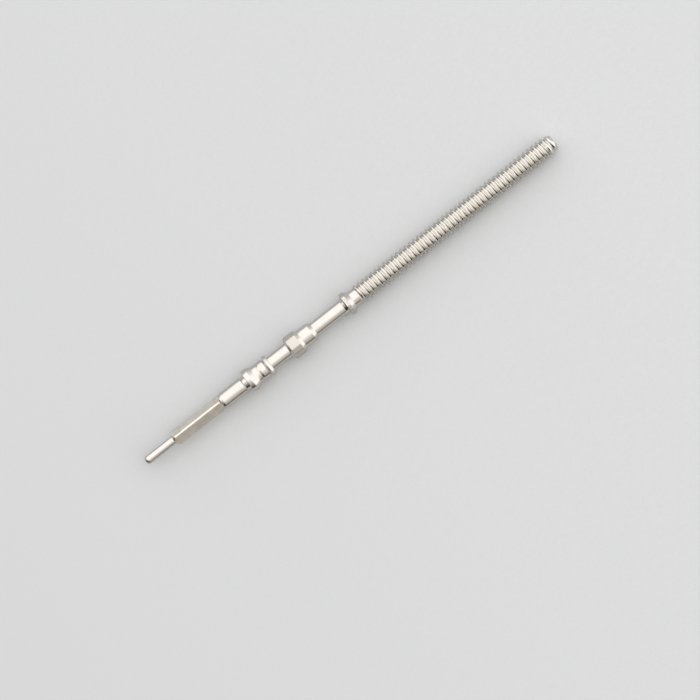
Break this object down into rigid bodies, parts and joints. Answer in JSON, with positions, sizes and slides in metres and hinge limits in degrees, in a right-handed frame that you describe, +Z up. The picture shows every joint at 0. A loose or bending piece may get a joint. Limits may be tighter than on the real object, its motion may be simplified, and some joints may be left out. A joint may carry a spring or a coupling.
{
  "type": "watch stem",
  "caption": "Slim turned steel watch stem with a pilot, a milled drive square, bearing shoulders, a lever groove, faceted flanges and a long threaded shank for the crown.",
  "frame": {"origin": "on the stem's axis, at the shoulder where the pilot pivot meets the drive square", "axes": "+X along the stem's axis towards the crown thread, -X towards the pilot's tip, +Z up as the stem lies on a flat of its stop flange, +Y to the left when looking along +X"},
  "size_m": [0.0217, 0.001, 0.001],
  "materials": {
    "turned_steel": "bright turned steel, polished, with very fine turning rings",
    "milled_steel": "milled steel flats with a fine lengthwise grain",
    "bright_steel": "bright drawn flats, slightly softer than the turned faces",
    "threaded_steel": "rolled thread, bright crests and darker roots"
  },
  "bodies": {
    "root": {"pilot_pivot": "turned_steel", "drive_square": "milled_steel", "pinion_seat": "turned_steel", "front_undercut": "turned_steel", "crested_shoulder": "turned_steel", "oil_groove": "turned_steel", "bearing_land": "turned_steel", "rear_undercut": "turned_steel", "lever_flange": "turned_steel", "lever_groove": "turned_steel", "faceted_collar": "bright_steel", "guide_drum": "turned_steel", "shank_neck": "turned_steel", "stop_flange": "bright_steel", "thread_relief": "turned_steel", "threaded_shank": "threaded_steel"}
  },
  "joints": []
}
